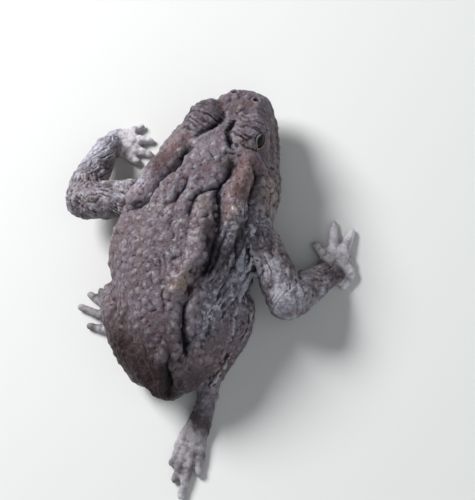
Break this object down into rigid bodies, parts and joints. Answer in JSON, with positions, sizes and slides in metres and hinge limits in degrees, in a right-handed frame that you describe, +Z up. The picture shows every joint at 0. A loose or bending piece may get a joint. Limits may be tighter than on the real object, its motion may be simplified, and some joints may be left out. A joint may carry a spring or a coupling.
{
  "type": "toad",
  "caption": "Common toad at life size, crawling low on its belly with the head turned a little to its right and the right hind foot trailing; warty loose skin and long glands behind the eyes.",
  "frame": {"origin": "on the floor, under the middle of the animal's bounding box", "axes": "+X the toad's right, +Y along the trunk towards the head, +Z up; the belly, hands and hind feet rest on Z = 0"},
  "size_m": [0.077, 0.1042, 0.0283],
  "materials": {
    "back_skin": "dry warty skin, dark brown-grey",
    "limb_skin": "dry skin, grey marbled with pale and dark blotches",
    "eye": "wet gloss, copper iris with a level dark pupil"
  },
  "bodies": {
    "root": {"torso": "back_skin", "head": "back_skin", "eye_left": "eye", "eye_right": "eye", "upper_arm_left": "limb_skin", "upper_arm_right": "limb_skin", "forearm_left": "limb_skin", "forearm_right": "limb_skin", "hand_left": "limb_skin", "hand_right": "limb_skin", "thigh_left": "limb_skin", "thigh_right": "limb_skin", "shank_left": "limb_skin", "shank_right": "limb_skin", "foot_left": "limb_skin", "foot_right": "limb_skin"}
  },
  "joints": []
}
